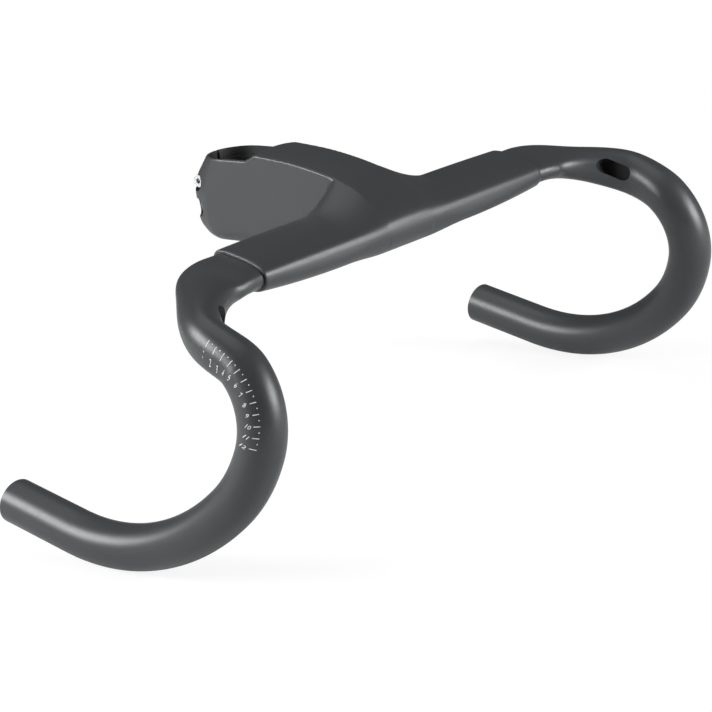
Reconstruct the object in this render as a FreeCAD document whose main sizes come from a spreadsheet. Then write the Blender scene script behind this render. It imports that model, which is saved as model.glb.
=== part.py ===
import FreeCAD, Part
import math
import os

# One-piece handlebar and stem of a drop-bar road bicycle, in millimetres.
# The origin is on the steerer's axis, at the underside of the clamp.
# +Z runs up the steerer, +Y towards the front wheel and +X to the rider's right.
# The bar and the stem are one hollow moulding; the clamp bolts and inserts are separate pieces.

SIZES = {
    # steerer clamp
    "steerer_diameter": 28.6,
    "clamp_height": 45.8,
    "clamp_half_width": 20.5,
    "crease_half_width": 17.0,
    "tail_reach": 31.0,
    "rim_radius": 18.4,
    "cap_recess_diameter": 32.4,
    "cap_recess_depth": 5.0,
    "clamp_slit": 1.8,
    # the stem's top line and underside
    "step_foot": 22.7,
    "step_top": 29.6,
    "step_height": 3.3,
    "crown": 1.7,
    "blend_ledge": 0.4,
    "lean": 17.0,
    # wing
    "wing_forward": 106.5,
    "wing_height": 15.6,
    "wing_chord": 37.4,
    "wing_thickness": 16.8,
    "wing_fullness": 2.4,
    "wing_tilt": 11.6,
    "wing_half_width": 108.5,
    "blend_width": 30.0,
    "step_depth": 1.6,
    "wall": 2.2,
    # drops
    "tube_diameter": 23.8,
    "tube_wall": 1.9,
    "drop_half_width": 187.25,
    "drop_end_below": 94.7,
    "flare": 8.57,
    "end_rise": 5.23,
    "end_straight": 45.5,
    "low_radius": 127.2,
    "low_turn": 53.2,
    "mid_radius": 69.3,
    "mid_turn": 28.0,
    "hood_radius": 37.35,
    "hood_turn": 63.6,
    "hood_seam": 0.2,
    "hood_overlap": 1.5,
    # clamp bolts, their washers and inserts
    "bolt_back": 20.5,
    "bolt_below_top": 14.5,
    "bolt_spacing": 14.5,
    "bolt_diameter": 4.0,
    "bolt_hole_diameter": 4.4,
    "bolt_head_diameter": 7.0,
    "bolt_head_height": 4.0,
    "bolt_seat": 9.1,
    "washer_diameter": 8.4,
    "washer_thickness": 0.8,
    "socket_width": 3.0,
    "socket_depth": 2.2,
    "pocket_diameter": 10.8,
    "insert_diameter": 8.4,
    "insert_length": 6.0,
    # hose ports and passage
    "port_length": 16.4,
    "port_height": 7.4,
    "port_inside": 15.2,
    "port_behind": 24.6,
    "port_above": 16.8,
    "passage_half_width": 10.0,
    "passage_back": 17.3,
    "passage_front": 30.0,
    # accessory inserts under the front
    "accessory_spacing": 20.0,
    "accessory_behind": 10.5,
    "accessory_diameter": 7.0,
    "accessory_length": 6.0,
    "accessory_thread": 4.0,
}

doc = FreeCAD.newDocument("BarStem")
sheet = doc.addObject("Spreadsheet::Sheet", "Sizes")
for row, (alias, value) in enumerate(SIZES.items(), 1):
    sheet.set("A%d" % row, alias)
    sheet.set("B%d" % row, str(value))
    sheet.setAlias("B%d" % row, alias)
doc.recompute()


def size(alias):
    """A size from the sheet, as a number."""
    return float(sheet.get(alias))


def vector(x, y, z):
    return FreeCAD.Vector(x, y, z)


def feature(name, shape):
    """A document object that holds a shape made with Part's own functions."""
    made = doc.addObject("Part::Feature", name)
    made.Shape = shape
    return made


def fused(name, pieces):
    made = doc.addObject("Part::MultiFuse", name)
    made.Shapes = pieces
    return made


def cut(name, base, tool):
    made = doc.addObject("Part::Cut", name)
    made.Base = base
    made.Tool = tool
    made.Refine = False
    return made


def mirrored(name, source):
    """The same piece on the rider's left."""
    made = doc.addObject("Part::Mirroring", name)
    made.Source = source
    made.Normal = vector(1, 0, 0)
    made.Base = vector(0, 0, 0)
    return made


def cylinder(name, radius, height, base, direction=(0, 0, 1)):
    """A round bar bound to the sheet: radius and height are expressions."""
    made = doc.addObject("Part::Cylinder", name)
    made.setExpression("Radius", radius)
    made.setExpression("Height", height)
    turn = FreeCAD.Rotation(vector(0, 0, 1), vector(*direction))
    made.Placement = FreeCAD.Placement(vector(*base), turn)
    return made


# The drops

def drop_axes():
    """The row-frame directions of the drop's own plane: along the straight end, across it, and square to both."""
    lean = math.radians(size("lean"))
    flare = math.radians(size("flare"))
    rise = math.radians(size("end_rise"))
    level = vector(0, math.cos(lean), -math.sin(lean))
    upright = vector(0, math.sin(lean), math.cos(lean))
    inward = vector(-math.sin(flare), 0, 0) + upright * math.cos(flare)
    along = level * math.cos(rise) + inward * math.sin(rise)
    across = inward * math.cos(rise) - level * math.sin(rise)
    return along, across, along.cross(across)


def drop_placement():
    along, across, square = drop_axes()
    start = vector(size("drop_half_width"), 0, -size("drop_end_below"))
    return FreeCAD.Placement(start, FreeCAD.Rotation(along, across, square, "XYZ"))


def drop_tube(name, radius, lead):
    """A round bar along the drop's midline, started a lead before its end; radius and lead are expressions."""
    place = drop_placement()
    straight = cylinder(name + "Straight", radius, "Sizes.end_straight + " + lead, (0, 0, 0))
    doc.recompute()
    before = size("end_straight") - straight.Height.Value
    straight.Placement = place * FreeCAD.Placement(vector(before, 0, 0), FreeCAD.Rotation(vector(0, 1, 0), 90))
    pieces = [straight]
    point = vector(size("end_straight"), 0, 0)
    heading = 0.0
    for part in ("low", "mid", "hood"):
        bend = doc.addObject("Part::Torus", name + part.capitalize())
        bend.setExpression("Radius1", "Sizes.%s_radius" % part)
        bend.setExpression("Radius2", radius)
        bend.setExpression("Angle3", "Sizes.%s_turn" % part)
        onward = vector(math.cos(heading), math.sin(heading), 0)
        inward = vector(-math.sin(heading), math.cos(heading), 0)
        centre = point + inward * size(part + "_radius")
        turn = FreeCAD.Rotation(inward * -1, onward, vector(0, 0, 1), "XYZ")
        bend.Placement = place * FreeCAD.Placement(centre, turn)
        pieces.append(bend)
        heading += math.radians(size(part + "_turn"))
        point = centre + vector(math.sin(heading), -math.cos(heading), 0) * size(part + "_radius")
    return fused(name, pieces)


def hood_end():
    """The midline's last point and its direction there, in the row frame."""
    heading = 0.0
    point = vector(size("end_straight"), 0, 0)
    for part in ("low", "mid", "hood"):
        radius = size(part + "_radius")
        turned = heading + math.radians(size(part + "_turn"))
        point += vector(math.sin(turned) - math.sin(heading), math.cos(heading) - math.cos(turned), 0) * radius
        heading = turned
    place = drop_placement()
    return place.multVec(point), place.Rotation.multVec(vector(math.cos(heading), math.sin(heading), 0))


# Sections of the wing and of the ramp

# The wing's section as shares of its half chord and half thickness, round from the nose's upper side.
WING_OUTLINE = [
    (1.00, 0.12), (0.92, 0.60), (0.66, 0.88), (0.20, 1.02), (-0.34, 1.04), (-0.74, 0.98), (-0.94, 0.75),
    (-1.00, 0.36), (-0.88, -0.22), (-0.53, -0.72), (0.0, -0.96), (0.48, -0.91), (0.82, -0.62), (0.97, -0.24),
]
# How far each of the points is pushed down and forward where the wing is fullest, as a share.
FULLNESS = [0.4, 0, 0, 0, 0, 0, 0, 0, 0, 0.4, 0.8, 1, 1, 0.8]
# The same fourteen points on the stem's side: distance in front of the wing's centre, share of the crease's height.
ROOT_OUTLINE = [
    (18.7, 0.244), (17.7, 0.352), (13.0, 0.458), (1.5, 0.621), (-9.5, 0.733), (-15.5, 0.766), (-20.0, 0.754),
    (-24.0, 0.662), (-29.0, 0.468), (-29.5, 0.204), (-22.5, 0.061), (-11.5, 0.024), (1.5, 0.041), (13.5, 0.132),
]
# The stem's crease from the step to the wing's centre: share of that run, share of the crease's height there.
CREASE_LINE = [(0, 1), (0.265, 0.955), (0.46, 0.904), (0.629, 0.843), (0.80, 0.772), (0.915, 0.711)]


def crease_height():
    return size("clamp_height") + size("step_height")


def root_outline():
    """The fourteen points on the stem's side, as distances forward and up."""
    return [(size("wing_forward") + forward, share * crease_height()) for forward, share in ROOT_OUTLINE]


def closed_wire(points):
    """One smooth closed edge through the points, with even knots so that neighbouring sections match."""
    curve = Part.BSplineCurve()
    knots = [float(number) for number in range(len(points) + 1)]
    curve.interpolate(Points=points, Parameters=knots, PeriodicFlag=True)
    return Part.Wire([curve.toShape()])


def inset_outline(outline, inset):
    """The outline moved inwards, each point along the line square to its two neighbours."""
    moved = []
    for number, (y, z) in enumerate(outline):
        before_y, before_z = outline[number - 1]
        after_y, after_z = outline[(number + 1) % len(outline)]
        run_y, run_z = after_y - before_y, after_z - before_z
        length = math.hypot(run_y, run_z)
        moved.append((y - run_z / length * inset, z + run_y / length * inset))
    return moved


def wing_section(across, inset, root_share=0.0):
    """The section across the bar at a distance from the middle; root_share leads it over into the stem."""
    tilt = math.radians(size("wing_tilt"))
    run = max(abs(across) - size("crease_half_width") - size("blend_width"), 0)
    run /= size("wing_half_width") - size("crease_half_width") - size("blend_width")
    push = size("wing_fullness") * (1 - run ** 2)
    outline = []
    roots = inset_outline(root_outline(), size("blend_ledge"))
    for (along, up), share, (root_y, root_z) in zip(WING_OUTLINE, FULLNESS, roots):
        x = along * size("wing_chord") / 2
        z = up * size("wing_thickness") / 2
        forward = size("wing_forward") + x * math.cos(tilt) + z * math.sin(tilt)
        height = size("wing_height") - x * math.sin(tilt) + z * math.cos(tilt)
        forward += push * share * math.sin(2 * tilt)
        height -= push * share * math.cos(2 * tilt)
        outline.append((forward + (root_y - forward) * root_share, height + (root_z - height) * root_share))
    return closed_wire([vector(across, y, z) for y, z in inset_outline(outline, inset)])


def wing_loft(inset):
    """Half of the wing: a stub inside the stem, the blend beside it, and the straight run out to the step."""
    crease = size("crease_half_width")
    blend = size("blend_width")
    stub = Part.makeLoft([wing_section(crease - 3, inset, 1.0), wing_section(crease, inset, 1.0)], True, True)
    steps = 8
    wires = []
    for number in range(steps + 1):
        share = number / steps
        wires.append(wing_section(crease + share * blend, inset, (1 - share) ** 2.5))
    blended = Part.makeLoft(wires, True, False)
    end = size("wing_half_width")
    runs = [wires[-1]] + [wing_section(crease + blend + (end - crease - blend) * part / 3, inset) for part in (1, 2, 3)]
    straight = Part.makeLoft(runs, True, False)
    return stub.fuse([blended, straight])


# The ramp's stations between the step and the hood: shares of the way outwards, forwards and down, then
# half width, half height, share of the round tube, and lean of the section.
RAMP_STATIONS = [
    (0.177, 0.012, 0.0, 17.9, 6.9, 0.10, 0.2),
    (0.390, 0.052, 0.047, 17.1, 7.2, 0.30, 0.2),
    (0.576, 0.159, 0.141, 13.8, 8.4, 0.55, 0.1),
    (0.736, 0.289, 0.246, 11.9, 9.8, 0.80, 0.0),
    (0.871, 0.425, 0.363, 11.0, 11.1, 1.0, 0.0),
    (0.976, 0.582, 0.508, 10.4, 12.0, 1.0, 0.0),
    (1.003, 0.800, 0.715, 10.9, 12.1, 1.0, 0.0),
]


def ramp_loft(inset):
    """The hollow or solid ramp that leads from the wing's step into the hood's tube."""
    end, onward = hood_end()
    end = end - onward * size("hood_overlap")
    tube = size("tube_diameter") / 2 - size("hood_seam")
    step = size("step_depth")
    start = vector(size("wing_half_width"), size("wing_forward"), size("wing_height"))
    way = end - start
    stations = [(start, size("wing_chord") / 2 - step, size("wing_thickness") / 2 - step, 0.0, 0.2)]
    for out, forward, down, half_width, half_height, roundness, lean in RAMP_STATIONS:
        place = start + vector(way.x * out, way.y * forward, way.z * down)
        stations.append((place, half_width, half_height, roundness, lean))
    stations.append((end, tube, tube, 1.0, 0.0))
    path = Part.BSplineCurve()
    path.interpolate(Points=[station[0] for station in stations])
    wires = []
    for number, (centre, half_width, half_height, roundness, lean) in enumerate(stations):
        ahead = vector(*path.tangent(path.parameter(centre))[0])
        if number == 0:
            ahead = vector(1, 0, 0)
        if number == len(stations) - 1:
            ahead = onward * -1
        upward = vector(0, lean, 1)
        upward = (upward - ahead * ahead.dot(upward)).normalize()
        inward = upward.cross(ahead)
        points = []
        for along, up in WING_OUTLINE:
            angle = math.atan2(up, along)
            along += (math.cos(angle) - along) * roundness
            up += (math.sin(angle) - up) * roundness
            points.append(centre + inward * (along * (half_width - inset)) + upward * (up * (half_height - inset)))
        wires.append(closed_wire(points))
    return Part.makeLoft(wires, True, False)


# The stem's core

# The tail's plan outline on one side, as shares of the half width and of the reach behind the steerer.
TAIL_SQUARE = [(1.0, -0.35), (0.85, -0.68), (0.66, -0.79), (0.48, -0.885), (0.27, -0.965)]
TAIL_ROUND = [(0.97, -0.25), (0.85, -0.53), (0.69, -0.724), (0.50, -0.866), (0.27, -0.963)]
# Level up the clamp, share of the half width, share of the tail's reach, share of the rounded plan.
CLAMP_LEVELS = [
    (-0.10, 0.62, 0.36, 1.0), (0.0, 0.86, 0.58, 0.9), (0.05, 0.95, 0.70, 0.6), (0.11, 0.995, 0.80, 0.4), (0.17, 1.0, 0.90, 0.2),
    (0.27, 1.0, 0.95, 0.0), (0.44, 1.0, 0.985, 0.0), (0.61, 1.0, 1.0, 0.0), (0.73, 1.0, 0.95, 0.2),
    (0.85, 1.0, 0.80, 0.5), (0.935, 1.0, 0.68, 0.8), (1.0, 1.0, 0.594, 1.0), (1.16, 1.0, 0.57, 1.0),
]


def clamp_plan(height_share, width_share, reach_share, roundness, front):
    """The stem's plan outline at one level of the clamp, closed off square in front."""
    height = height_share * size("clamp_height")
    draft = (size("clamp_half_width") - size("crease_half_width")) * height_share
    half_width = (size("clamp_half_width") - draft) * width_share
    reach = size("tail_reach") * reach_share
    side = []
    for (square_x, square_y), (round_x, round_y) in zip(TAIL_SQUARE, TAIL_ROUND):
        x = (square_x + (round_x - square_x) * roundness) * half_width
        y = (square_y + (round_y - square_y) * roundness) * reach
        side.append(vector(x, y, height))
    tail = side + [vector(0, -reach, height)] + [vector(-p.x, p.y, height) for p in reversed(side)]
    curve = Part.BSplineCurve()
    curve.interpolate(Points=tail, Parameters=[float(number) for number in range(len(tail))])
    front_half = size("crease_half_width") - size("blend_ledge")
    corners = [tail[-1], vector(-half_width, 0, height), vector(-front_half, front, height),
               vector(front_half, front, height), vector(half_width, 0, height), tail[0]]
    edges = [curve.toShape()]
    for first, second in zip(corners, corners[1:]):
        edges.append(Part.makeLine(first, second))
    return Part.Wire(edges)


def core_profile(across):
    """The stem's side outline in a plane across the bike, with the top line raised towards the middle."""
    raised = size("crown") * (1 - (across / size("crease_half_width")) ** 2)
    rim = size("clamp_height")
    crease = rim + size("step_height")
    foot = size("step_foot")
    top = size("step_top")
    back = -size("tail_reach") - 4
    run = size("wing_forward") - top
    roots = root_outline()
    crease_line = [(top + run * share, crease * height) for share, height in CREASE_LINE] + roots[3::-1]
    fade = 1.7 * run
    drop_off = [vector(across, y, z + raised * (1.0 - (y - top) / fade)) for y, z in crease_line]
    below = roots[:10:-1] + [(top + 0.3 * run, 0.7), (size("step_foot"), 0.0)]
    under = [drop_off[-1]] + [vector(across, y, z) for y, z in below]
    front_curve = Part.BSplineCurve()
    front_curve.interpolate(Points=drop_off)
    under_curve = Part.BSplineCurve()
    under_curve.interpolate(Points=under)
    edges = [
        Part.makeLine(vector(across, back, rim), vector(across, foot, rim)),
        Part.makeLine(vector(across, foot, rim), drop_off[0]),
        front_curve.toShape(),
        under_curve.toShape(),
        Part.makeLine(under[-1], vector(across, back, 0)),
        Part.makeLine(vector(across, back, 0), vector(across, back, rim)),
    ]
    return Part.Wire(edges)


outer_drop = drop_tube("DropTube", "Sizes.tube_diameter / 2", "0")
inner_drop = drop_tube("DropBore", "Sizes.tube_diameter / 2 - Sizes.tube_wall", "Sizes.tube_wall")
doc.recompute()

side_limit = size("clamp_half_width") + 2
core_side = feature("CoreSide", Part.makeLoft(
    [core_profile(side_limit * number / 4) for number in range(-4, 5)], True, True))
plans = [clamp_plan(*level, front=size("wing_forward") + size("wing_chord")) for level in CLAMP_LEVELS]
core_plan = feature("CorePlan", Part.makeLoft(plans, True, False))
core = doc.addObject("Part::MultiCommon", "StemCore")
core.Shapes = [core_side, core_plan]

wing_right = feature("WingRight", wing_loft(0.0))
ramp_right = feature("RampRight", ramp_loft(0.0))
ramp_side = fused("BarRight", [wing_right, ramp_right, outer_drop])

# Hollows

wall = size("wall")
void_wing = feature("WingHollow", wing_loft(wall))
void_ramp = feature("RampHollow", ramp_loft(wall))

lid = size("clamp_height") - size("cap_recess_depth") - wall
top_start = size("step_top")
stem_run = size("wing_forward") - top_start
side_line = [(top_start + stem_run * share, crease_height() * height) for share, height in CREASE_LINE]
side_line += root_outline()[3::-1] + root_outline()[:10:-1]
side_line += [(size("passage_back") - wall, 0.0), (size("passage_back") - wall, crease_height() + 1)]
hollow_line = [vector(0, y, z) for y, z in inset_outline(side_line[::-1], wall)]
hollow_half = size("crease_half_width") - wall - size("blend_ledge")
hollow_face = Part.Face(Part.makePolygon(hollow_line + hollow_line[:1]))
hollow_face.translate(vector(-hollow_half, 0, 0))
hollow_block = hollow_face.extrude(vector(2 * hollow_half, 0, 0))
under_recess = Part.makeBox(2 * hollow_half, size("step_foot") + 2 * wall, crease_height(),
                            vector(-hollow_half, 0, lid))
stem_hollow = feature("StemHollow", hollow_block.cut(under_recess))

passage = doc.addObject("Part::Box", "HosePassage")
passage.setExpression("Length", "2 * Sizes.passage_half_width")
passage.setExpression("Width", "Sizes.passage_front - Sizes.passage_back")
passage.setExpression("Height", "Sizes.wall + 6")
passage.Placement.Base = vector(-size("passage_half_width"), size("passage_back"), -2)

bore = cylinder("SteererBore", "Sizes.steerer_diameter / 2", "Sizes.clamp_height + 4", (0, 0, -2))
floor_level = size("clamp_height") - size("cap_recess_depth")
recess_round = cylinder("CapRecess", "Sizes.cap_recess_diameter / 2", "Sizes.cap_recess_depth + 8",
                        (0, 0, floor_level))
recess_half = size("cap_recess_diameter") / 2 - 0.7
recess_front = doc.addObject("Part::Box", "CapRecessFront")
recess_front.Length = 2 * recess_half
recess_front.setExpression("Width", "Sizes.step_foot - 1.6")
recess_front.setExpression("Height", "Sizes.cap_recess_depth + 8")
recess_front.Placement.Base = vector(-recess_half, 0, floor_level)
slit = doc.addObject("Part::Box", "ClampSlit")
slit.setExpression("Length", "Sizes.clamp_slit")
slit.setExpression("Width", "Sizes.tail_reach + 4")
slit.setExpression("Height", "Sizes.clamp_height + 4")
slit.Placement.Base = vector(-size("clamp_slit") / 2, -size("tail_reach") - 4, -2)

# Hose port on the inner side of each ramp

half_run = (size("port_length") - size("port_height")) / 2
port_slot = Part.makeBox(2 * half_run, size("port_height"), 14.0, vector(-half_run, -size("port_height") / 2, 0))
port_slot = port_slot.fuse([
    Part.makeCylinder(size("port_height") / 2, 14.0, vector(-half_run, 0, 0)),
    Part.makeCylinder(size("port_height") / 2, 14.0, vector(half_run, 0, 0))]).removeSplitter()
port_out = vector(-0.80, 0.25, 0.26).normalize()
port_along = vector(0.10, 0.93, -0.36)
port_along = (port_along - port_out * port_along.dot(port_out)).normalize()
port_place = hood_end()[0] + vector(-size("port_inside"), -size("port_behind"), size("port_above"))
port_slot.Placement = FreeCAD.Placement(
    port_place + port_out * -5.5, FreeCAD.Rotation(port_along, port_out.cross(port_along), port_out, "XYZ"))
port_right = feature("HosePort", port_slot)
bar_right = cut("BarRightHollow", ramp_side, fused("BarHollows", [void_wing, void_ramp, inner_drop, port_right]))

# Bolt holes, pockets and inserts


def bolt_tools(name, height, side):
    """The holes that one clamp bolt needs: a clearance hole, a pocket for the head and one for the insert."""
    back = -size("bolt_back")
    seat = size("bolt_seat")
    hole = cylinder(name + "Hole", "Sizes.bolt_hole_diameter / 2", "2 * Sizes.bolt_seat + 2",
                    (-side * (seat + 1), back, height), (side, 0, 0))
    head_pocket = cylinder(name + "HeadPocket", "Sizes.pocket_diameter / 2", "Sizes.tail_reach",
                           (side * seat, back, height), (side, 0, 0))
    insert_pocket = cylinder(name + "InsertPocket", "Sizes.insert_diameter / 2", "Sizes.tail_reach",
                             (-side * (seat + 1.4 - size("insert_length")), back, height), (-side, 0, 0))
    insert_mouth = cylinder(name + "InsertMouth", "Sizes.pocket_diameter / 2", "Sizes.tail_reach",
                            (-side * (seat + 1.4), back, height), (-side, 0, 0))
    return [hole, head_pocket, insert_pocket, insert_mouth]


def bolt_piece(label, height, side):
    """A socket head bolt through the clamp, its tip just inside the insert's outer face."""
    seat = size("bolt_seat")
    under_head = seat + size("washer_thickness")
    head = cylinder(label + "Head", "Sizes.bolt_head_diameter / 2", "Sizes.bolt_head_height",
                    (side * under_head, 0, 0), (side, 0, 0))
    length = under_head + seat + 0.6
    shank = cylinder(label + "Shank", "Sizes.bolt_diameter / 2", "Sizes.bolt_seat * 2 + 1.6",
                     (side * (under_head + 0.2 - length), 0, 0), (side, 0, 0))
    solid = fused(label + "Solid", [head, shank])
    socket = doc.addObject("Part::Prism", label + "Socket")
    socket.Polygon = 6
    socket.setExpression("Circumradius", "Sizes.socket_width / sqrt(3)")
    socket.setExpression("Height", "Sizes.socket_depth + 1")
    socket.Placement = FreeCAD.Placement(
        vector(side * (under_head + size("bolt_head_height") - size("socket_depth")), 0, 0),
        FreeCAD.Rotation(vector(0, 0, 1), vector(side, 0, 0)))
    made = cut(label + "Cut", solid, socket)
    made.Label = label
    made.Placement.Base = vector(0, -size("bolt_back"), height)
    return made


def ring_piece(label, outer_radius, inner_radius, length, start, direction):
    """A washer or a threaded insert: a ring that starts at a point and runs in a direction."""
    body = cylinder(label + "Outer", outer_radius, length, (0, 0, 0), direction)
    hole = cylinder(label + "Inner", inner_radius, length, (0, 0, 0), direction)
    made = cut(label + "Ring", body, hole)
    made.Label = label
    made.Placement.Base = vector(*start)
    return made


right_space = doc.addObject("Part::Box", "RightSpace")
right_space.setExpression("Length", "2 * Sizes.clamp_half_width")
right_space.setExpression("Width", "Sizes.tail_reach + Sizes.wing_forward + Sizes.wing_chord")
right_space.setExpression("Height", "2 * (Sizes.clamp_height + Sizes.step_height)")
right_space.Placement.Base = vector(0, -size("tail_reach") - 10, -20)
core_half = doc.addObject("Part::Common", "StemCoreHalf")
core_half.Base = core
core_half.Tool = right_space
core_half.Refine = False
half_hollows = fused("HalfHollows", [void_wing, void_ramp, inner_drop, port_right, stem_hollow, passage, bore, recess_round, recess_front])
right_solid = fused("RightSolid", [core_half, ramp_side])
right_half = cut("RightHalf", right_solid, half_hollows)
left_half = mirrored("LeftHalf", right_half)
tools = [slit]
pieces = []
upper_height = size("clamp_height") - size("bolt_below_top")
for name, height, side in (("upper", upper_height, 1), ("lower", upper_height - size("bolt_spacing"), -1)):
    tools += bolt_tools(name.capitalize() + "Bolt", height, side)
    pieces.append(bolt_piece(name + "_clamp_bolt", height, side))
    pieces.append(ring_piece(name + "_bolt_washer", "Sizes.washer_diameter / 2", "Sizes.bolt_diameter / 2",
                             "Sizes.washer_thickness", (side * size("bolt_seat"), -size("bolt_back"), height),
                             (side, 0, 0)))
    pieces.append(ring_piece(name + "_threaded_insert", "Sizes.insert_diameter / 2", "Sizes.bolt_diameter / 2",
                             "Sizes.insert_length", (-side * (size("bolt_seat") + 1.4), -size("bolt_back"), height),
                             (side, 0, 0)))

both_halves = fused("BothHalves", [right_half, left_half])
bored = cut("Bored", both_halves, fused("BoltAndSlitTools", tools))

# Bosses inside the front for the accessory inserts

bosses = []
boss_holes = []
for side, word in ((1, "right"), (-1, "left")):
    place = (side * size("accessory_spacing") / 2, size("wing_forward") - size("accessory_behind"), 1.4)
    bosses.append(cylinder("AccessoryBoss" + word.capitalize(), "Sizes.accessory_diameter / 2 + 2",
                           "Sizes.accessory_length + 1.5", (place[0], place[1], 2.0)))
    boss_holes.append(cylinder("AccessoryHole" + word.capitalize(), "Sizes.accessory_diameter / 2",
                               "Sizes.accessory_length + 4", (place[0], place[1], place[2] - 4)))
    pieces.append(ring_piece(word + "_accessory_insert", "Sizes.accessory_diameter / 2",
                             "Sizes.accessory_thread / 2", "Sizes.accessory_length", place, (0, 0, 1)))
with_bosses = fused("ShellWithBosses", [bored] + bosses)
shell = cut("ShellCut", with_bosses, fused("AccessoryHoles", boss_holes))
shell.Label = "bar_stem_shell"
nodes = [shell] + pieces

doc.recompute()
for item in doc.Objects:
    if "Invalid" in item.State or "Error" in item.State:
        raise RuntimeError(item.Name + " did not compute: " + str(item.State))
os.makedirs("parts", exist_ok=True)
for node in nodes:
    shape = node.Shape
    if shape.isNull() or not shape.isValid():
        raise RuntimeError(node.Label + " has no valid shape")
    shape.exportStep(os.path.join("parts", node.Label + ".step"))
    print(node.Label, "volume", round(shape.Volume, 1), "solids", len(shape.Solids), "faces", len(shape.Faces))
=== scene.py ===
import math

import bmesh
import bpy
import numpy as np
from mathutils import Matrix, Vector


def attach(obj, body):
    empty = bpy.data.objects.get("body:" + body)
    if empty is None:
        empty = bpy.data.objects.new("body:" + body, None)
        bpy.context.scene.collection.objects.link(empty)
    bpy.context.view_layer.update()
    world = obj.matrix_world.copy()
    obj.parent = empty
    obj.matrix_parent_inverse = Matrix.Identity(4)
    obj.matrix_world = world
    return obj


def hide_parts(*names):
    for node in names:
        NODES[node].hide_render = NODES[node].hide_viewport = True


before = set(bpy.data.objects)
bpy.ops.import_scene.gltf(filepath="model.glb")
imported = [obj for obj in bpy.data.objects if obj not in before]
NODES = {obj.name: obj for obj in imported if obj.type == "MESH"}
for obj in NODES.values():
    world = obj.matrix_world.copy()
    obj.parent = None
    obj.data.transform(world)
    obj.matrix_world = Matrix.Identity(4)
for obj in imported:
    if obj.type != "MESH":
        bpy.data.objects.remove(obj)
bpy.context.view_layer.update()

# Looks of the one-piece handlebar and stem. Sizes are in millimetres until a mesh is made.
# +X is the rider's right, +Y forwards, +Z up the steerer from the underside of the clamp.

MM = 0.001
SHELL = "bar_stem_shell"


# Colours and materials

def linear(code):
    """A hex colour as linear values with full alpha."""
    values = []
    for place in (0, 2, 4):
        share = int(code[place:place + 2], 16) / 255
        values.append(share / 12.92 if share <= 0.04045 else ((share + 0.055) / 1.055) ** 2.4)
    return (*values, 1.0)


def add_node(tree, kind, inputs=None, **settings):
    """A node in a shader or geometry tree, with settings and plain inputs or links by socket name."""
    node = tree.nodes.new(kind)
    for name, value in settings.items():
        setattr(node, name, value)
    for name, value in (inputs or {}).items():
        socket = node.inputs[name]
        if isinstance(value, bpy.types.NodeSocket):
            tree.links.new(value, socket)
        else:
            socket.default_value = value
    return node


def surface(name, dark, light, roughness, grain=900.0, relief=0.0, metallic=0.0, coat=0.0):
    """A principled surface whose colour and roughness drift a little with a fine procedural grain."""
    material = bpy.data.materials.new(name)
    material.use_nodes = True
    tree = material.node_tree
    shader = tree.nodes["Principled BSDF"]
    place = add_node(tree, "ShaderNodeTexCoord")
    fine = add_node(tree, "ShaderNodeTexNoise",
                    {"Vector": place.outputs["Object"], "Scale": grain, "Detail": 3.0})
    broad = add_node(tree, "ShaderNodeTexNoise",
                     {"Vector": place.outputs["Object"], "Scale": 18.0, "Detail": 2.0})
    tint = add_node(tree, "ShaderNodeMix", {"Factor": broad.outputs["Fac"]}, data_type="RGBA")
    tint.inputs[6].default_value = linear(dark)
    tint.inputs[7].default_value = linear(light)
    spread = add_node(tree, "ShaderNodeMapRange", {"Value": fine.outputs["Fac"], "From Min": 0.3, "From Max": 0.7,
                                                   "To Min": roughness - 0.03, "To Max": roughness + 0.04})
    tree.links.new(tint.outputs[2], shader.inputs["Base Color"])
    tree.links.new(spread.outputs["Result"], shader.inputs["Roughness"])
    shader.inputs["Metallic"].default_value = metallic
    shader.inputs["Coat Weight"].default_value = coat
    if relief:
        bump = add_node(tree, "ShaderNodeBump", {"Height": fine.outputs["Fac"], "Distance": relief * MM})
        bump.inputs["Strength"].default_value = 0.35
        tree.links.new(bump.outputs["Normal"], shader.inputs["Normal"])
    return material


MATTE_PAINT = surface("matte charcoal paint", "343638", "393b3d", 0.37, relief=0.05)
BARE_MOULDING = surface("bare moulded composite", "1b1c1d", "242526", 0.6, relief=0.08)
# Painted shade: near black, darker than the bare composite, laid inside holes, slits, the hose port and the drop bore
# where shade falls.
PAINTED_SHADE_HOLLOW = surface("painted shade in the moulding's hollows", "060606", "0a0a0a", 0.8)
PLATED_STEEL = surface("plated steel", "c4c5c6", "d6d7d8", 0.24, metallic=1.0)
INSERT_METAL = surface("threaded insert metal", "6e6f70", "858687", 0.35, metallic=1.0)
WHITE_PRINT = surface("white printed ink", "d9dadb", "e6e7e8", 0.5)


# Curves and meshes

def unit(vectors):
    return vectors / np.linalg.norm(vectors, axis=-1, keepdims=True)


def slopes(knots, values, start, end, closed):
    """The slopes at the knots of a smooth curve through the values."""
    count = len(values)
    matrix = np.zeros((count, count))
    right = np.zeros_like(values)
    for row in range(count):
        if closed or 0 < row < count - 1:
            before = values[row - 1]
            after = values[(row + 1) % count]
            step_in = 1.0 if closed else knots[row] - knots[row - 1]
            step_out = 1.0 if closed else knots[row + 1] - knots[row]
            matrix[row, row - 1] += 1 / step_in
            matrix[row, row] += 2 / step_in + 2 / step_out
            matrix[row, (row + 1) % count] += 1 / step_out
            right[row] = 3 * ((values[row] - before) / step_in ** 2 + (after - values[row]) / step_out ** 2)
        elif (start if row == 0 else end) is not None:
            matrix[row, row] = 1.0
            right[row] = start if row == 0 else end
        else:
            near = 1 if row == 0 else count - 2
            step = knots[near] - knots[row]
            matrix[row, row] = 2.0
            matrix[row, near] = 1.0
            right[row] = 3 * (values[near] - values[row]) / step
    return np.linalg.solve(matrix, right)


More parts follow.
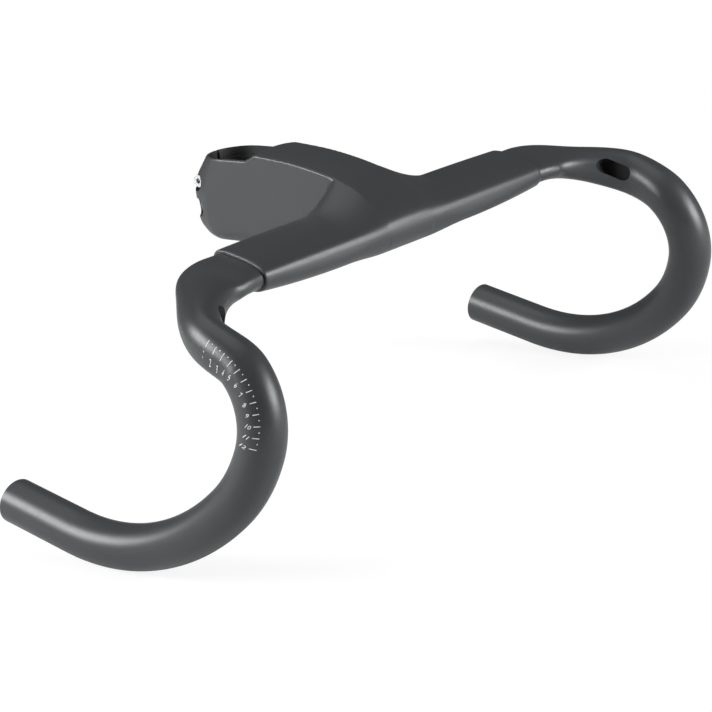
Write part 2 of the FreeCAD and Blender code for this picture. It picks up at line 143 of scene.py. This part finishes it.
def smooth(values, places, knots=None, start=None, end=None, closed=False):
    """Points at the places along a smooth curve through the values."""
    values = np.asarray(values, float)
    if knots is None:
        knots = np.arange(len(values) + closed, dtype=float)
    knots = np.asarray(knots, float)
    tangents = slopes(knots, values, start, end, closed)
    if closed:
        values = np.concatenate([values, values[:1]])
        tangents = np.concatenate([tangents, tangents[:1]])
    places = np.asarray(places, float)
    first = np.clip(np.searchsorted(knots, places, side="right") - 1, 0, len(knots) - 2)
    width = (knots[first + 1] - knots[first])[:, None]
    share = ((places - knots[first]) / width[:, 0])[:, None]
    low, high = values[first], values[first + 1]
    low_slope, high_slope = tangents[first] * width, tangents[first + 1] * width
    return ((2 * share ** 3 - 3 * share ** 2 + 1) * low + (share ** 3 - 2 * share ** 2 + share) * low_slope
            + (3 * share ** 2 - 2 * share ** 3) * high + (share ** 3 - share ** 2) * high_slope)


def mesh_object(name, points, faces, materials, flip=False):
    """An object at the origin from points in millimetres."""
    mesh = bpy.data.meshes.new(name)
    if flip:
        faces = [tuple(reversed(face)) for face in faces]
    mesh.from_pydata([tuple(point) for point in np.asarray(points) * MM], [], faces)
    for material in materials:
        mesh.materials.append(material)
    mesh.polygons.foreach_set("use_smooth", [True] * len(mesh.polygons))
    mesh.update()
    obj = bpy.data.objects.new(name, mesh)
    bpy.context.scene.collection.objects.link(obj)
    return obj


def grid_faces(rings, around, first=0):
    faces = []
    for ring in range(rings - 1):
        base = first + ring * around
        for step in range(around):
            after = (step + 1) % around
            faces.append((base + step, base + after, base + around + after, base + around + step))
    return faces


def ring_loft(name, rings, materials, caps=True):
    """A closed solid through rings of points that all have the same count."""
    around = len(rings[0])
    faces = grid_faces(len(rings), around)
    if caps:
        faces.append(tuple(reversed(range(around))))
        last = (len(rings) - 1) * around
        faces.append(tuple(range(last, last + around)))
    obj = mesh_object(name, np.concatenate(rings), faces, materials)
    outwards(obj)
    return obj


def outwards(obj):
    work = bmesh.new()
    work.from_mesh(obj.data)
    bmesh.ops.recalc_face_normals(work, faces=work.faces)
    work.to_mesh(obj.data)
    work.free()


def settle(obj):
    """Turns the object's modifiers into its own mesh."""
    bpy.context.view_layer.update()
    graph = bpy.context.evaluated_depsgraph_get()
    made = bpy.data.meshes.new_from_object(obj.evaluated_get(graph))
    obj.modifiers.clear()
    old = obj.data
    obj.data = made
    bpy.data.meshes.remove(old)


def combine(obj, tool, operation="DIFFERENCE"):
    """One solid cut, joined or crossed with another, which is then dropped."""
    change = obj.modifiers.new("combine", "BOOLEAN")
    change.operation = operation
    change.solver = "EXACT"
    change.material_mode = "TRANSFER"
    change.object = tool
    settle(obj)
    bpy.data.objects.remove(tool)


def turned_cylinder(name, radius, base, axis, length, material, around=64):
    """A round solid from a base point along an axis."""
    axis = Vector(axis).normalized()
    turn = axis.to_track_quat("Z", "Y").to_matrix()
    rings = []
    for height in (0.0, length):
        angles = np.arange(around) * 2 * math.pi / around
        local = np.stack([np.cos(angles) * radius, np.sin(angles) * radius, np.full(around, height)], 1)
        rings.append(local @ np.array(turn).T + np.array(base))
    return ring_loft(name, rings, [material])


def block(name, low, high, material):
    """A box between two corners."""
    corners = [(low[0], low[1]), (high[0], low[1]), (high[0], high[1]), (low[0], high[1])]
    return ring_loft(name, [np.array([(*corner, z) for corner in corners]) for z in (low[2], high[2])], [material])


# The wing and the stem

STEERER_RADIUS = 14.3
CLAMP_HEIGHT = 45.8
CREASE_HALF = 17.0
CLAMP_HALF = 20.5
STEP_FOOT = 22.7
STEP_TOP = 29.6
CROWN = 1.7
WING_FORWARD = 106.5
WING_HEIGHT = 15.6
WING_CHORD = 37.4
WING_THICKNESS = 16.8
WING_TILT = math.radians(11.6)
WING_HALF = 108.5
BLEND_WIDTH = 30.0
TAIL_REACH = 31.0

WING_OUTLINE = np.array([
    (1.00, 0.12), (0.92, 0.60), (0.66, 0.88), (0.20, 1.02), (-0.34, 1.04), (-0.74, 0.98), (-0.94, 0.75),
    (-1.00, 0.36), (-0.88, -0.22), (-0.53, -0.72), (0.0, -0.96), (0.48, -0.91), (0.82, -0.62), (0.97, -0.24),
])
ROOT_OUTLINE = np.array([
    (125.2, 12), (124.2, 17.3), (119.5, 22.7), (108, 31.2), (97, 37.2), (91, 38.9), (86.5, 38.3),
    (82.5, 32.9), (77.5, 23), (77, 10), (86, 2.2), (101, 0.4), (116.5, 1.5), (123.2, 5.8),
])
CREASE_LINE = np.array([(29.6, 49.1), (50, 47.2), (65, 45.0), (78, 42.4), (91, 39.1), (100, 35.9)])
BLEND_SLOPES = np.array([1.6] * 8 + [2.5] * 2 + [2.0] + [0.0] * 3)
HIGH_SIDE = np.array([0, 0, 0, 0.6, 1, 1, 1, 0.7, 0, 0, 0, 0, 0, 0])
HIGH_BACK = 0.8
FULL_SIDE = np.array([0.4, 0, 0, 0, 0, 0, 0, 0, 0, 0.4, 0.8, 1, 1, 0.8])
FULLNESS = 3.0
LEDGE = 0.1
TAIL_SQUARE = np.array([(1.0, -0.35), (0.85, -0.68), (0.66, -0.79), (0.48, -0.885), (0.27, -0.965), (0, -1)])
TAIL_ROUND = np.array([(0.97, -0.25), (0.85, -0.53), (0.69, -0.724), (0.50, -0.866), (0.27, -0.963), (0, -1)])
CLAMP_LEVELS = np.array([
    (-0.10, 0.62, 0.36, 1.0), (0.0, 0.86, 0.58, 0.9), (0.05, 0.95, 0.70, 0.6), (0.11, 0.995, 0.80, 0.4),
    (0.17, 1.0, 0.90, 0.2), (0.27, 1.0, 0.95, 0.0), (0.44, 1.0, 0.985, 0.0), (0.61, 1.0, 1.0, 0.0),
    (0.73, 1.0, 0.95, 0.2), (0.85, 1.0, 0.80, 0.5), (0.935, 1.0, 0.68, 0.8), (1.0, 1.0, 0.594, 1.0),
    (1.16, 1.0, 0.57, 1.0),
])


def inset(outline, distance):
    """A closed outline moved inwards all round."""
    along = unit(np.roll(outline, -1, axis=0) - np.roll(outline, 1, axis=0))
    return outline + np.stack([-along[:, 1], along[:, 0]], 1) * distance


def wing_ring(across, around=112):
    """The section across the bar, led over into the stem beside the crease."""
    along, up = WING_OUTLINE[:, 0] * WING_CHORD / 2, WING_OUTLINE[:, 1] * WING_THICKNESS / 2
    forward = WING_FORWARD + along * math.cos(WING_TILT) + up * math.sin(WING_TILT)
    height = WING_HEIGHT - along * math.sin(WING_TILT) + up * math.cos(WING_TILT)
    wing = np.stack([forward, height], 1)
    run = max(abs(across) - CREASE_HALF - BLEND_WIDTH, 0) / (WING_HALF - CREASE_HALF - BLEND_WIDTH)
    push = np.array([math.sin(2 * WING_TILT), -math.cos(2 * WING_TILT)]) * FULLNESS * (1 - run ** 2)
    wing = wing + FULL_SIDE[:, None] * push + HIGH_SIDE[:, None] * np.array([0, HIGH_BACK]) * (1 - run ** 2)
    share = min(max((abs(across) - CREASE_HALF) / BLEND_WIDTH, 0.0), 1.0)
    eased = 1 - share ** 2 * (3 - 2 * share)
    lead = np.where(BLEND_SLOPES > 0, (1 - share) ** np.maximum(BLEND_SLOPES, 1), eased)[:, None]
    outline = wing + (inset(ROOT_OUTLINE, LEDGE) - wing) * lead
    points = smooth(outline, np.arange(around) * len(outline) / around, closed=True)
    return np.column_stack([np.full(around, across), points])


def side_outline(across):
    """The stem's side outline, with the top raised towards the middle."""
    raised = CROWN * (1 - (across / CREASE_HALF) ** 2)
    line = np.concatenate([CREASE_LINE, ROOT_OUTLINE[3::-1]])
    line[:, 1] += raised * (1.0 - (line[:, 0] - STEP_TOP) / 130.0)
    front = smooth(line, np.linspace(0, len(line) - 1, 60))
    below = np.array([tuple(line[-1])] + [tuple(p) for p in ROOT_OUTLINE[:10:-1]]
                     + [(52.7, 0.7), (STEP_FOOT, 0.0)])
    under = smooth(below, np.linspace(0, len(below) - 1, 40))[1:]
    back = -TAIL_REACH - 4
    ends = np.array([(back, 0.0), (back, CLAMP_HEIGHT), (STEP_FOOT, CLAMP_HEIGHT)])
    points = np.concatenate([front, under, ends])
    return np.column_stack([np.full(len(points), across), points])


def clamp_plan(level):
    """The stem's plan outline at one level, closed off square in front."""
    height_share, width_share, reach_share, roundness = level
    height = height_share * CLAMP_HEIGHT
    half_width = (CLAMP_HALF - (CLAMP_HALF - CREASE_HALF) * height_share) * width_share
    side = TAIL_SQUARE + (TAIL_ROUND - TAIL_SQUARE) * roundness
    side = side * np.array([half_width, TAIL_REACH * reach_share])
    tail = np.concatenate([side, side[-2::-1] * np.array([-1, 1])])
    curve = smooth(tail, np.linspace(0, len(tail) - 1, 61))
    front = CREASE_HALF - 0.4
    corners = np.array([(-half_width, 0), (-front, 135), (front, 135), (half_width, 0)])
    outline = np.concatenate([curve, corners])
    return np.column_stack([outline, np.full(len(outline), height)])


def stem_core():
    """The stem from the clamp to the wing: its side outline crossed with its plan."""
    limit = CLAMP_HALF + 2
    core = ring_loft("core side", [side_outline(x) for x in np.linspace(-limit, limit, 25)], [MATTE_PAINT])
    knots = CLAMP_LEVELS[:, 0]
    heights = np.linspace(knots[0], knots[-1], 56)
    levels = smooth(CLAMP_LEVELS, heights, knots)
    levels[:, 0] = heights
    plan = ring_loft("core plan", [clamp_plan(level) for level in levels], [MATTE_PAINT])
    combine(core, plan, "INTERSECT")
    return core


def centre_piece():
    """The wing and the stem, fused, with soft edges."""
    across = np.concatenate([np.linspace(-WING_HALF, -50, 12),
                             np.linspace(-47, 47, 95), np.linspace(50, WING_HALF, 12)])
    wing = ring_loft("wing", [wing_ring(x) for x in across], [MATTE_PAINT])
    core = stem_core()
    combine(wing, core, "UNION")
    wing.name = "wing_and_stem"
    remesh = wing.modifiers.new("even mesh", "REMESH")
    remesh.mode = "VOXEL"
    remesh.voxel_size = 0.62 * MM
    soften = wing.modifiers.new("soft edges", "SMOOTH")
    soften.factor = 0.5
    soften.iterations = 10
    settle(wing)
    wing.data.polygons.foreach_set("use_smooth", [True] * len(wing.data.polygons))
    return wing


def cut_clamp(wing):
    """The steerer's bore, the cap's recess, the slit, the bolt pockets and the hose passage."""
    floor = CLAMP_HEIGHT - 5.0
    combine(wing, turned_cylinder("bore", STEERER_RADIUS, (0, 0, -4), (0, 0, 1), 60, BARE_MOULDING, 96))
    angles = np.linspace(-math.pi, 0, 49)
    recess = np.stack([np.cos(angles) * 16.2, np.sin(angles) * 16.2], 1)
    recess = np.concatenate([recess, [(15.6, 8), (15.5, STEP_FOOT - 1.6), (-15.5, STEP_FOOT - 1.6), (-15.6, 8)]])
    rings = [np.column_stack([recess, np.full(len(recess), z)]) for z in (floor, CLAMP_HEIGHT + 6)]
    combine(wing, ring_loft("recess", rings, [BARE_MOULDING]))
    # The cut faces of the slit and the hose passage take the painted shade.
    combine(wing, block("slit", (-0.9, -TAIL_REACH - 4, -4), (0.9, -8, CLAMP_HEIGHT + 4), PAINTED_SHADE_HOLLOW))
    combine(wing, block("hose passage", (-10, 17.3, -4), (10, 30, 34), PAINTED_SHADE_HOLLOW))
    # The deeper, narrower parts of the bolt holes take the painted shade.
    for height, side in ((31.3, 1), (16.8, -1)):
        for way, start, radius, material in (
                (side, 9.1, 5.4, BARE_MOULDING), (-side, 10.5, 5.4, BARE_MOULDING), (-side, 4.0, 4.25, PAINTED_SHADE_HOLLOW),
                (side, -6.0, 2.2, PAINTED_SHADE_HOLLOW)):
            combine(wing, turned_cylinder("bolt hole", radius, (way * start, -20.5, height), (way, 0, 0), 26, material))


# The ramps and drops

FLARE = math.radians(8.57)
LEAN = math.radians(17.0)
TUBE = 11.9
BORE = 10.0
END_RISE = math.radians(5.23)
END_STRAIGHT = 45.5
DROP_ARCS = ((127.2, math.radians(53.2)), (69.3, math.radians(28.0)), (37.35, math.radians(63.6)))
DROP_START = np.array([187.25, 0.0, -94.7])
RAMP_STATIONS = np.array([
    (108.5, 106.5, 15.6, 17.1, 6.8, 0.0, 0.2), (119.0, 107.2, 15.6, 17.9, 6.9, 0.10, 0.2),
    (131.6, 109.6, 14.4, 17.1, 7.2, 0.30, 0.2), (142.6, 115.9, 12.0, 13.8, 8.4, 0.55, 0.1),
    (152.1, 123.6, 9.3, 11.9, 9.8, 0.80, 0.0), (160.1, 131.6, 6.3, 11.0, 11.1, 1.0, 0.0),
    (166.3, 141.0, 2.6, 10.4, 12.0, 1.0, 0.0), (168.0, 153.8, -2.7, 10.9, 12.1, 1.0, 0.0),
])


def drop_line(step=2.0):
    """The drop's midline from its open end to the hood, and the direction at each point."""
    level = np.array([0, math.cos(LEAN), -math.sin(LEAN)])
    upright = np.array([0, math.sin(LEAN), math.cos(LEAN)])
    inward = np.array([-math.sin(FLARE), 0, 0]) + upright * math.cos(FLARE)
    points, ways = [], []
    heading = END_RISE
    place = np.zeros(2)
    for distance in np.arange(0, END_STRAIGHT, step):
        points.append(np.array([math.cos(heading), math.sin(heading)]) * distance)
        ways.append(heading)
    place = np.array([math.cos(heading), math.sin(heading)]) * END_STRAIGHT
    for radius, turn in DROP_ARCS:
        count = max(int(radius * turn / step), 2)
        for share in np.arange(count) / count:
            angle = heading + turn * share
            points.append(place + radius * np.array([math.sin(angle) - math.sin(heading),
                                                     math.cos(heading) - math.cos(angle)]))
            ways.append(angle)
        after = heading + turn
        place = place + radius * np.array([math.sin(after) - math.sin(heading), math.cos(heading) - math.cos(after)])
        heading = after
    points.append(place)
    ways.append(heading)
    places = [DROP_START + level * p[0] + inward * p[1] for p in points]
    return np.array(places), np.array([level * math.cos(a) + inward * math.sin(a) for a in ways])


def side_rings(around=96):
    """Rings of the ramp and drop from inside the step to the open end, for the rider's right."""
    line, ways = drop_line()
    line, ways = line[::-1], -ways[::-1]
    stations = np.vstack([RAMP_STATIONS, [*line[0], TUBE, TUBE, 1.0, 0.0]])
    spans = np.linalg.norm(np.diff(stations[:, :3], axis=0), axis=1)
    knots = np.concatenate([[0], np.cumsum(spans)])
    places = np.arange(0, knots[-1], 1.25)
    centres = smooth(stations[:, :3], places, knots, start=np.array([1, 0, -0.09]), end=ways[0])
    shapes = smooth(stations[:, 3:], places, knots)
    ahead = unit(np.gradient(centres, axis=0))
    ahead[0] = (1, 0, -0.09)
    ahead = unit(ahead)
    centres = np.concatenate([centres, line])
    ahead = np.concatenate([ahead, ways])
    shapes = np.concatenate([shapes, np.tile([TUBE, TUBE, 1.0, 0.0], (len(line), 1))])
    up = np.array([0, 0.0, 1.0])
    reference = np.array([-math.cos(FLARE), 0, 0])
    parameter = np.arange(around) * len(WING_OUTLINE) / around
    flat = smooth(WING_OUTLINE, parameter, closed=True)
    angles = np.unwrap(np.arctan2(flat[:, 1], flat[:, 0]))
    circle = np.stack([np.cos(angles), np.sin(angles)], 1)
    rings = []
    inward = None
    for centre, way, (half_width, half_height, roundness, tilt) in zip(centres, ahead, shapes):
        if inward is None:
            lift = up + np.array([0, tilt, 0])
            lift = unit(lift - way * (lift @ way))
            inward = np.cross(lift, way)
        if len(rings) < len(places):
            lift = up - way * (up @ way)
            lift = unit(lift + np.array([0, tilt, 0]))
            lift = unit(lift - way * (lift @ way))
            inward = np.cross(lift, way)
        else:
            inward = unit(inward - way * (inward @ way))
            lift = np.cross(way, inward)
        outline = flat + (circle - flat) * min(max(roundness, 0), 1)
        rings.append(centre + outline[:, :1] * half_width * inward + outline[:, 1:] * half_height * lift)
    return rings, centres, ahead


def side_piece(mirror):
    """One ramp and drop with its open end."""
    rings, centres, ahead = side_rings()
    inner = []
    for number in range(-1, -28, -1):
        middle = rings[number].mean(axis=0)
        inner.append(middle + (rings[number] - middle) * (BORE / TUBE))
    rings = [ring * np.array([-1 if mirror else 1, 1, 1]) for ring in rings + inner]
    # The second material is the painted shade for the drop's bore.
    obj = ring_loft("left_ramp_and_drop" if mirror else "right_ramp_and_drop", rings, [MATTE_PAINT, PAINTED_SHADE_HOLLOW])
    return obj


def port_tool(mirror):
    """The rounded slot that opens the ramp for the hoses."""
    way = -1 if mirror else 1
    out = unit(np.array([-0.866 * 0.93, 0.25, 0.26]))
    along = np.array([0.10, 0.93, -0.36])
    along = unit(along - out * (along @ out))
    across = np.cross(out, along)
    centre = np.array([152.5, 141.0, 7.4])
    run, radius = (18.0 - 8.4) / 2, 4.2
    angles = np.linspace(-math.pi / 2, math.pi / 2, 17)
    slot = [(run + radius * math.cos(a), radius * math.sin(a)) for a in angles]
    slot += [(-run - radius * math.cos(a), -radius * math.sin(a)) for a in angles]
    rings = []
    for depth in (-6.0, 9.0):
        rings.append(np.array([(centre + along * x + across * y + out * depth) * np.array([way, 1, 1]) for x, y in slot]))
    # The port's cut faces take the painted shade.
    return ring_loft("port", rings, [PAINTED_SHADE_HOLLOW])


centre = centre_piece()
cut_clamp(centre)
sides = []
for mirror in (False, True):
    piece = side_piece(mirror)
    combine(piece, port_tool(mirror))
    sides.append(piece)
for piece in [centre] + sides:
    piece.data.polygons.foreach_set("use_smooth", [True] * len(piece.data.polygons))
    piece.data.set_sharp_from_angle(angle=math.radians(38))
    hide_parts(SHELL)
    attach(piece, "root")

# The printed scale on the near drop

MARKS = 12
MARK_SPACING = 4.767
MARK_LENGTH = 3.3
MARK_WIDTH = 0.34
DOT_RADIUS = 0.3
DOT_SIDE = 1.2
NUMERAL_SIDE = -3.9
NUMERAL_SIZE = 2.5
NUMERAL_TURNS = (math.radians(80), math.radians(20))
PRINT_START = 83.2
PRINT_TURN = np.array([42.8, 45.0, 41.4, 39.0, 39.4, 43.2])
PRINT_LIFT = 0.1


def marks_and_dots():
    """A flat layout of long marks with a dot between each two, made by Geometry Nodes."""
    tree = bpy.data.node_groups.new("graduation", "GeometryNodeTree")
    tree.interface.new_socket(name="Geometry", in_out="INPUT", socket_type="NodeSocketGeometry")
    tree.interface.new_socket(name="Geometry", in_out="OUTPUT", socket_type="NodeSocketGeometry")
    row = {"Offset": (MARK_SPACING * MM, 0, 0)}
    long_places = add_node(tree, "GeometryNodeMeshLine", {**row, "Count": MARKS})
    mark = add_node(tree, "GeometryNodeMeshGrid", {"Size X": MARK_WIDTH * MM, "Size Y": MARK_LENGTH * MM,
                                                   "Vertices X": 2, "Vertices Y": 8})
    dot_places = add_node(tree, "GeometryNodeMeshLine", {
        **row, "Count": MARKS - 1, "Start Location": (MARK_SPACING / 2 * MM, DOT_SIDE * MM, 0)})
    dot = add_node(tree, "GeometryNodeMeshCircle", {"Vertices": 12, "Radius": DOT_RADIUS * MM}, fill_type="NGON")
    both = add_node(tree, "GeometryNodeJoinGeometry")
    for places, shape in ((long_places, mark), (dot_places, dot)):
        set_out = add_node(tree, "GeometryNodeInstanceOnPoints", {
            "Points": places.outputs["Mesh"], "Instance": shape.outputs["Mesh"]})
        tree.links.new(set_out.outputs["Instances"], both.inputs["Geometry"])
    real = add_node(tree, "GeometryNodeRealizeInstances", {"Geometry": both.outputs["Geometry"]})
    inked = add_node(tree, "GeometryNodeSetMaterial",
                     {"Geometry": real.outputs["Geometry"], "Material": WHITE_PRINT})
    add_node(tree, "NodeGroupOutput", {"Geometry": inked.outputs["Geometry"]})
    layout = mesh_object("drop_scale_marks", [(0, 0, 0)], [], [WHITE_PRINT])
    layout.modifiers.new("graduation", "NODES").node_group = tree
    settle(layout)
    return layout


def numerals():
    """The flat layout's numerals, one beside each long mark."""
    points, faces = [], []
    for number in range(MARKS):
        turn = NUMERAL_TURNS[0] + (NUMERAL_TURNS[1] - NUMERAL_TURNS[0]) * number / (MARKS - 1)
        baseline = np.array([math.sin(turn), math.cos(turn)])
        upright = np.array([-math.cos(turn), math.sin(turn)])
        curve = bpy.data.curves.new("numeral", "FONT")
        curve.body = str(number + 1)
        curve.size = NUMERAL_SIZE
        curve.align_x = "CENTER"
        curve.align_y = "CENTER"
        letter = bpy.data.objects.new("numeral", curve)
        scene.collection.objects.link(letter)
        bpy.context.view_layer.update()
        mesh = bpy.data.meshes.new_from_object(letter.evaluated_get(bpy.context.evaluated_depsgraph_get()))
        middle = np.array([number * MARK_SPACING, NUMERAL_SIDE])
        for face in mesh.polygons:
            faces.append([vertex + len(points) for vertex in face.vertices])
        points += [middle + baseline * vertex.co.x + upright * vertex.co.y for vertex in mesh.vertices]
        bpy.data.objects.remove(letter)
        bpy.data.curves.remove(curve)
        bpy.data.meshes.remove(mesh)
    return mesh_object("drop_scale_numerals", [(*point, 0) for point in points], faces, [WHITE_PRINT])


def wrap(flat, rings, centres):
    """Lays a flat layout on the drop: x runs along the midline, y round the tube to the outer side."""
    rings, centres = np.array(rings), np.array(centres)
    middle = rings.mean(axis=1, keepdims=True)
    around = rings.shape[1]
    arc = np.concatenate([[0], np.cumsum(np.linalg.norm(np.diff(centres, axis=0), axis=1))])
    turns = smooth(PRINT_TURN[:, None], np.linspace(0, 5, 61), knots=np.array([0, 2, 4, 7, 9, 11]) * 5 / 11)[:, 0]
    step = np.linalg.norm(rings[60, 44] - rings[60, 40]) / 4
    for vertex in flat.data.vertices:
        x, y = vertex.co.x / MM, vertex.co.y / MM
        row = np.interp(PRINT_START + x, arc, np.arange(len(arc)))
        column = np.interp(x / (MARK_SPACING * (MARKS - 1)), np.linspace(0, 1, 61), turns) - y / step
        low_row, low_column = int(row), int(column)
        place, heart = np.zeros(3), np.zeros(3)
        for next_row in (0, 1):
            row_share = row - low_row if next_row else 1 - row + low_row
            heart += middle[low_row + next_row, 0] * row_share
            for next_column in (0, 1):
                share = column - low_column if next_column else 1 - column + low_column
                place += rings[low_row + next_row, (low_column + next_column) % around] * row_share * share
        vertex.co = Vector(place + unit(place - heart) * PRINT_LIFT) * MM
    flat.data.update()
    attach(flat, "root")


scene = bpy.context.scene
drop_rings, drop_centres, _ = side_rings()
for flat_layout in (marks_and_dots(), numerals()):
    wrap(flat_layout, drop_rings, drop_centres)

for name, node in NODES.items():
    if name == SHELL:
        continue
    node.data.materials.clear()
    node.data.materials.append(PLATED_STEEL if "bolt" in name else INSERT_METAL)


# Camera, light and floor

CAMERA_AXES = ((-0.67237215, 0.73058079, -0.11902688), (0.30063707, 0.12258893, -0.94582731),
               (-0.67641189, -0.67173184, -0.30206505))
lens = bpy.data.cameras.new("camera")
lens.sensor_width = 36.0
lens.lens = 115.615
lens.shift_x = -0.01355
lens.shift_y = 0.05236
lens.clip_end = 20.0
camera = bpy.data.objects.new("camera", lens)
scene.collection.objects.link(camera)
right, down, onward = (Vector(axis) for axis in CAMERA_AXES)
camera.matrix_world = Matrix.Translation(Vector((849.04, 918.63, 293.36)) * MM) @ Matrix((
    (right.x, -down.x, -onward.x), (right.y, -down.y, -onward.y), (right.z, -down.z, -onward.z))).to_4x4()
scene.camera = camera

scene.view_settings.view_transform = "Standard"


def in_view(tree):
    """One for what the camera sees straight or through glass, and nought for the light on the object."""
    path = add_node(tree, "ShaderNodeLightPath")
    seen = add_node(tree, "ShaderNodeMath",
                    {0: path.outputs["Is Camera Ray"], 1: path.outputs["Is Transmission Ray"]},
                    operation="MAXIMUM")
    return seen.outputs[0]


def background():
    """White to the camera and through glass, a soft grey light to everything else."""
    world = bpy.data.worlds.new("studio")
    world.use_nodes = True
    scene.world = world
    tree = world.node_tree
    mix = add_node(tree, "ShaderNodeMix", {"Factor": in_view(tree)}, data_type="RGBA")
    mix.inputs[6].default_value = linear(WORLD_GREY)
    mix.inputs[7].default_value = (1.0, 1.0, 1.0, 1.0)
    tree.links.new(mix.outputs[2], tree.nodes["Background"].inputs["Color"])


def floor_surface():
    """A pale floor that shows white to the camera but keeps the shadow, and fades out far from the object."""
    material = bpy.data.materials.new("pale floor")
    material.use_nodes = True
    tree = material.node_tree
    tree.nodes.clear()
    plain = add_node(tree, "ShaderNodeBsdfDiffuse", {"Color": linear("e8e8e8")})
    place = add_node(tree, "ShaderNodeTexCoord")
    far = add_node(tree, "ShaderNodeVectorMath", {0: place.outputs["Object"]}, operation="LENGTH")
    fade = add_node(tree, "ShaderNodeMapRange", {"Value": far.outputs["Value"], "From Min": 0.16, "From Max": 0.42,
                                                 "To Min": 0.0, "To Max": 1.0}, interpolation_type="SMOOTHSTEP")
    white = add_node(tree, "ShaderNodeEmission", {"Color": (1.0, 1.0, 1.0, 1.0), "Strength": 1.0})
    part = add_node(tree, "ShaderNodeEmission", {"Color": (1.0, 1.0, 1.0, 1.0), "Strength": FLOOR_GLOW})
    shaded = add_node(tree, "ShaderNodeBsdfDiffuse", {"Color": (FLOOR_SHADE, FLOOR_SHADE, FLOOR_SHADE, 1.0)})
    near = add_node(tree, "ShaderNodeAddShader", {0: part.outputs[0], 1: shaded.outputs[0]})
    shown = add_node(tree, "ShaderNodeMixShader", {"Fac": fade.outputs["Result"], 1: near.outputs[0],
                                                   2: white.outputs[0]})
    whole = add_node(tree, "ShaderNodeMixShader",
                     {"Fac": in_view(tree), 1: plain.outputs[0], 2: shown.outputs[0]})
    add_node(tree, "ShaderNodeOutputMaterial", {"Surface": whole.outputs[0]})
    return material


def lamp(name, place, target, size, power):
    """A soft rectangular light aimed at a point; places in metres."""
    light = bpy.data.lights.new(name, "AREA")
    light.shape = "RECTANGLE"
    light.size, light.size_y = size
    light.energy = power
    obj = bpy.data.objects.new(name, light)
    obj.location = place
    obj.rotation_euler = (Vector(target) - Vector(place)).to_track_quat("-Z", "Y").to_euler()
    scene.collection.objects.link(obj)
    return obj


WORLD_GREY = "585858"
FLOOR_GLOW = 0.8
FLOOR_SHADE = 0.24
background()
lamp("overhead softbox", (0.0, -0.2, 1.3), (0, 0.08, -0.03), (1.2, 1.2), 5)
lamp("front softbox", (-0.65, 1.3, 0.35), (0, 0.08, -0.03), (0.8, 0.6), 22)
lamp("side softbox", (1.15, -0.75, 0.62), (0, 0.08, -0.03), (1.0, 0.6), 28)

floor_height = -0.1186
floor_mesh = bpy.data.meshes.new("floor")
floor_mesh.from_pydata([(-4, -4, floor_height), (4, -4, floor_height), (4, 4, floor_height), (-4, 4, floor_height)],
                       [], [(0, 1, 2, 3)])
floor_mesh.materials.append(floor_surface())
floor = bpy.data.objects.new("floor", floor_mesh)
scene.collection.objects.link(floor)
